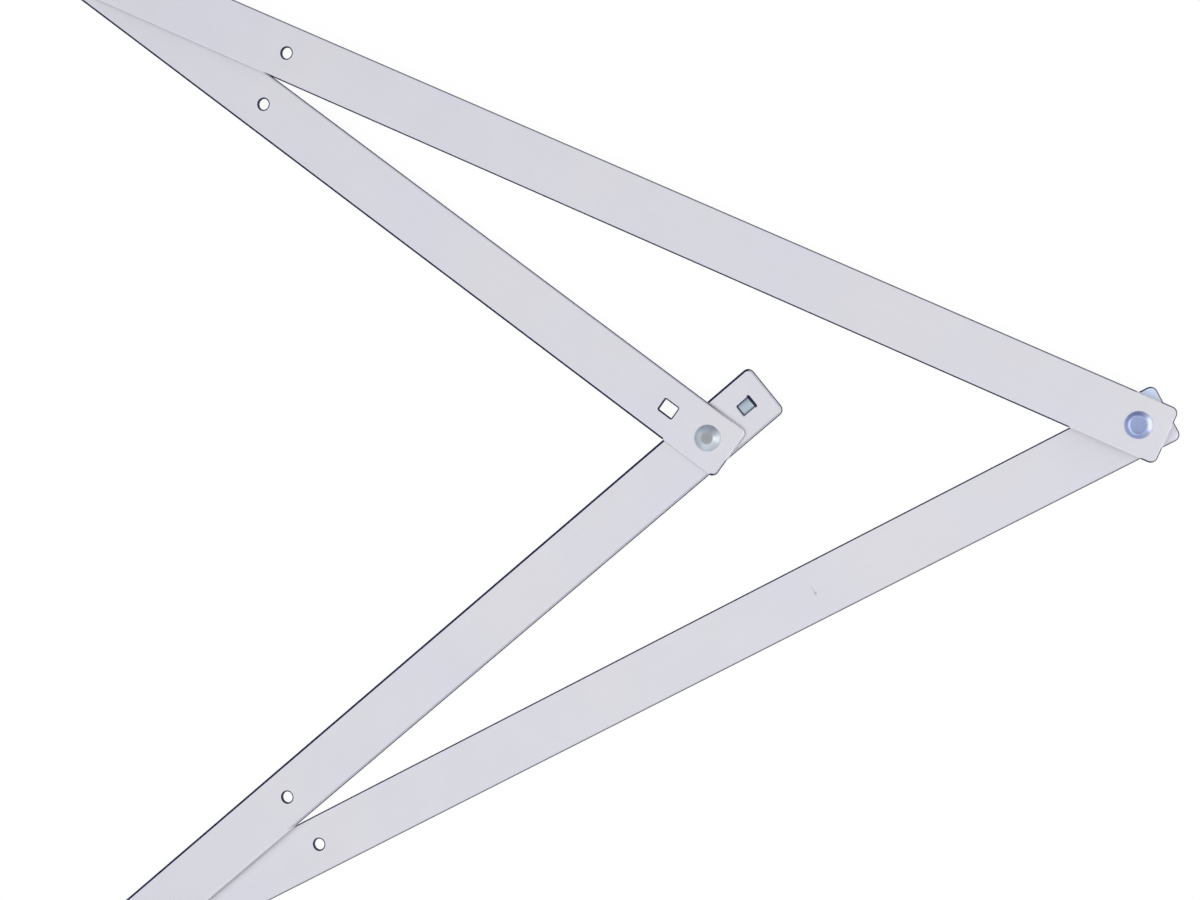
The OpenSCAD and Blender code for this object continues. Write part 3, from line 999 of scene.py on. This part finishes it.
upper_zinc = turned_metal("blue_zinc_upper", upper, BLUE_ZINC, **SMOOTH_PLATING)
turned_part("upper_rivet", plain_foot("upper_rivet") + leg_head("upper_rivet"),
            upper, LEG_HEAD_EASE, upper_zinc, "upper_leg", "rivet_steel")
turned_part("upper_rivet_tail", flush_tail("upper_rivet_tail"),
            upper, FLUSH_EASE, upper_zinc, "plain_brace", "rivet_steel")
washer("upper_washer", WASHER, upper, WASHER_EASE, nylon_finish, "upper_leg", "washer_nylon")

# Spring catch

_, tab_turn = run_of(lower, centre)
tab_way = Vector((math.cos(tab_turn), math.sin(tab_turn), 0.0))
tab_side = Vector((-tab_way.y, tab_way.x, 0.0))
button_place = centre + tab_way * CATCH_OFFSET
tab_low = underside("tab_brace")


def pressed_mesh(name, shape, finish):
    """Keeps a pressed shape as a smooth mesh with sharp edges."""
    bmesh.ops.recalc_face_normals(shape, faces=shape.faces)
    mesh = bpy.data.meshes.new(name)
    shape.to_mesh(mesh)
    shape.free()
    mesh.materials.append(finish)
    for polygon in mesh.polygons:
        polygon.use_smooth = True
    mesh.set_sharp_from_angle(angle=PRESSED_CREASE)
    return mesh


def catch_block_mesh(name, finish):
    """The button: a block with an arched top and eased edges, on a spigot through the leaf."""
    foot = underside("catch_button")
    top = topside("catch_button")
    seat = tab_low - BUTTON_LIFT + LEAF_PLAY
    half_width = BUTTON_WIDTH / 2
    half_length = BUTTON_LENGTH / 2
    bulge = (half_width ** 2 + BUTTON_ARCH ** 2) / (2 * BUTTON_ARCH)

    def section(inset):
        """End view of the block, drawn in by a distance: place across the brace, and height."""
        reach = half_width - inset
        shoulder = top - inset - BUTTON_ARCH
        points = [(-reach, seat + inset), (-reach, shoulder - BUTTON_EASE)]
        for step in range(ARCH_STEPS + 1):
            across = (reach - BUTTON_EASE) * (2 * step / ARCH_STEPS - 1)
            points.append((across, top - inset - bulge + math.sqrt(bulge ** 2 - across ** 2)))
        points += [(reach, shoulder - BUTTON_EASE), (reach, seat + inset)]
        return points

    eased_end = [
        (half_length - BUTTON_EASE * (1 - math.cos(lean)), BUTTON_EASE * (1 - math.sin(lean)))
        for lean in quarter_turn(EASE_STEPS)
    ]
    stations = [(-along, inset) for along, inset in eased_end] + eased_end[::-1]

    shape = bmesh.new()
    rings = []
    for along, inset in stations:
        spot = button_place + tab_way * along
        rings.append([shape.verts.new((*(spot + tab_side * across).to_2d(), height))
                      for across, height in section(inset)])
    for ring, following in zip(rings, rings[1:]):
        for corner in range(len(ring)):
            shape.faces.new((ring[corner - 1], ring[corner],
                             following[corner], following[corner - 1]))
    shape.faces.new(rings[0])
    shape.faces.new(rings[-1][::-1])
    height = seat + SPIGOT_ROOT - foot
    spigot = Matrix.Translation((button_place.x, button_place.y, foot + height / 2))
    bmesh.ops.create_cone(shape, cap_ends=True, segments=SPIGOT_STEPS, radius1=SPIGOT / 2,
                          radius2=SPIGOT / 2, depth=height, matrix=spigot)
    return pressed_mesh(name, shape, finish)


button_finish = tumbled_steel("tumbled_button", button_place, tab_turn)
keep_piece("pressed_catch_button", catch_block_mesh("catch_button", button_finish), "catch",
           "button_steel", "catch_button")


def spring_leaf_mesh(name, finish):
    """The bent leaf below the tab: one strip with rounded ends, a rivet hole and a spigot hole."""
    half = LEAF_WIDTH / 2
    straight = CATCH_OFFSET + LEAF_TIP - half
    along_side = [straight * step / LEAF_SIDE_STEPS for step in range(1, LEAF_SIDE_STEPS)]
    outline = arc(0.0, half, 90, 180, LEAF_END_STEPS)
    outline += [(along, -half) for along in along_side]
    outline += arc(straight, half, -90, 180, LEAF_END_STEPS)
    outline += [(along, half) for along in reversed(along_side)]
    rivet_hole = arc(0.0, BORE / 2, 0, 360, LEAF_HOLE_STEPS)[:-1]
    spigot_hole = arc(CATCH_OFFSET, SPIGOT_HOLE / 2, 0, 360, LEAF_HOLE_STEPS)[:-1]

    def bend(along):
        """How far the leaf has bent down at a distance from the rivet."""
        share = min(max((along - LEAF_SLOPE_START) / LEAF_SLOPE, 0.0), 1.0)
        return -BUTTON_LIFT * share * share * (3 - 2 * share)

    shape = bmesh.new()
    for loop in (outline, rivet_hole, spigot_hole):
        corners = [shape.verts.new((x, y, 0.0)) for x, y in loop]
        for first, second in zip(corners, corners[1:] + corners[:1]):
            shape.edges.new((first, second))
    bmesh.ops.triangle_fill(shape, edges=shape.edges, use_beauty=True, use_dissolve=False)
    bmesh.ops.recalc_face_normals(shape, faces=shape.faces)
    thickened = bmesh.ops.extrude_face_region(shape, geom=shape.faces[:])
    for corner in thickened["geom"]:
        if isinstance(corner, bmesh.types.BMVert):
            corner.co.z -= LEAF_THICKNESS
    for corner in shape.verts:
        along, aside, height = corner.co
        spot = centre + tab_way * along + tab_side * aside
        corner.co = (spot.x, spot.y, tab_low + height + bend(along))
    return pressed_mesh(name, shape, finish)


leaf_finish = rolled_spring_steel("rolled_spring", centre, tab_turn)
leaf = bpy.data.objects.new("spring_leaf", spring_leaf_mesh("spring_leaf", leaf_finish))
bpy.context.scene.collection.objects.link(leaf)
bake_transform(leaf)
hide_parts("catch_leaf")

# Floor, light and camera

FLOOR_REACH = 8
WALL_HEIGHT = 0.9
FLOOR_PALE = (0.8, 0.8, 0.8, 1)
FLOOR_WHITE = (1, 1, 1, 1)
FLOOR_STRENGTH = 1.07
FLOOR_GLOW = 0.84
ROOM_FRONT = (0.43, 0.475, 0.54)
ROOM_BACK = (0.22, 0.25, 0.34)
ROOM_RIGHT = (0.69, 0.685, 0.69)
TO_RIGHT = (0.1, 0.7)
TO_BACK = (0.0, 0.7)
WARM_WHITE = (1.0, 0.985, 0.97)

# Viewpoint of the photograph, fitted to it together with the part's proportions
PHOTO_SENSOR = 36
PHOTO_LENS = 77.983
PHOTO_PLACE = (0.35583, 0.00312, 1.10085)
PHOTO_TURN_DEGREES = (-0.886, 16.7749, -1.8648)
NEAREST_SEEN = 0.05
FARTHEST_SEEN = 50


def sight_rays(tree):
    """One where the camera, gloss or glass looks, and zero for the rest of the light."""
    path = add(tree, "ShaderNodeLightPath")
    sight = calc(tree, "MAXIMUM", path.outputs["Is Camera Ray"], path.outputs["Is Glossy Ray"])
    return calc(tree, "MAXIMUM", sight, path.outputs["Is Transmission Ray"])


def white_floor():
    """A floor with a low wall round it, white to the eye. Its plain pale share keeps the shadow."""
    material = bpy.data.materials.new("white_floor")
    material.use_nodes = True
    tree = material.node_tree
    tree.nodes.clear()
    pale = add(tree, "ShaderNodeBsdfDiffuse", {"Color": FLOOR_PALE})
    glow = add(tree, "ShaderNodeEmission", {"Color": FLOOR_WHITE, "Strength": FLOOR_STRENGTH})
    share = calc(tree, "MULTIPLY", sight_rays(tree), FLOOR_GLOW)
    mixed = add(tree, "ShaderNodeMixShader", {0: share, 1: pale, 2: glow})
    add(tree, "ShaderNodeOutputMaterial", {"Surface": mixed})

    across = [(-1, -1), (1, -1), (1, 1), (-1, 1)]
    points = [(x * FLOOR_REACH, y * FLOOR_REACH, height)
              for height in (0, WALL_HEIGHT) for x, y in across]
    ground = (0, 1, 2, 3)
    top = len(ground)
    walls = [(corner + top, corner, ground[corner - 1], ground[corner - 1] + top)
             for corner in (1, 2, 3, 0)]
    mesh = bpy.data.meshes.new("floor")
    mesh.from_pydata(points, [], [ground] + walls)
    mesh.materials.append(material)
    floor = bpy.data.objects.new("floor", mesh)
    bpy.context.scene.collection.objects.link(floor)


def studio_room():
    """What the metal reflects above the wall: a dim cool room, pale at right and dark behind."""
    world = bpy.data.worlds.new("studio_room")
    bpy.context.scene.world = world
    world.use_nodes = True
    tree = world.node_tree
    tree.nodes.clear()
    way = add(tree, "ShaderNodeTexCoord").outputs["Generated"]
    way = add(tree, "ShaderNodeSeparateXYZ", {0: way})
    to_right = rising(tree, way.outputs["X"], *TO_RIGHT)
    to_back = rising(tree, way.outputs["Y"], *TO_BACK)
    tone = overlaid(tree, to_right, tinted(tree, to_back, ROOM_FRONT, ROOM_BACK), ROOM_RIGHT)
    room = add(tree, "ShaderNodeBackground", {"Color": tone, "Strength": 1.0})
    add(tree, "ShaderNodeOutputWorld", {"Surface": room})


def soft_lamp(name, place, aim, width, depth, glow):
    """A flat softbox that looks as bright as its glow, whatever its size."""
    lamp = bpy.data.lights.new(name, "AREA")
    lamp.shape = "RECTANGLE"
    lamp.size = width
    lamp.size_y = depth
    lamp.energy = glow * math.pi * width * depth
    lamp.color = WARM_WHITE
    holder = bpy.data.objects.new(name, lamp)
    holder.location = place
    holder.rotation_euler = (Vector(aim) - Vector(place)).to_track_quat("-Z", "Y").to_euler()
    bpy.context.scene.collection.objects.link(holder)


def photo_camera():
    """The viewpoint of the photograph: almost overhead, from the right of the square."""
    lens = bpy.data.cameras.new("photo_camera")
    lens.sensor_width = PHOTO_SENSOR
    lens.lens = PHOTO_LENS
    lens.clip_start = NEAREST_SEEN
    lens.clip_end = FARTHEST_SEEN
    camera = bpy.data.objects.new("photo_camera", lens)
    camera.location = PHOTO_PLACE
    camera.rotation_euler = [math.radians(angle) for angle in PHOTO_TURN_DEGREES]
    bpy.context.scene.collection.objects.link(camera)
    bpy.context.scene.camera = camera


white_floor()
studio_room()
soft_lamp("overhead_softbox", place=(-0.8, -0.2, 1.9), aim=(-0.5, -0.1, 0.0),
          width=3.4, depth=2.4, glow=0.8)
soft_lamp("right_softbox", place=(1.7, 0.05, 0.8), aim=(0.1, 0.0, 0.0),
          width=2.2, depth=1.0, glow=1.15)
soft_lamp("camera_softbox", place=(0.62, -0.1, 1.3), aim=(-0.05, 0.0, 0.0),
          width=0.5, depth=0.5, glow=1.95)
photo_camera()

bpy.context.scene.view_settings.view_transform = "Standard"
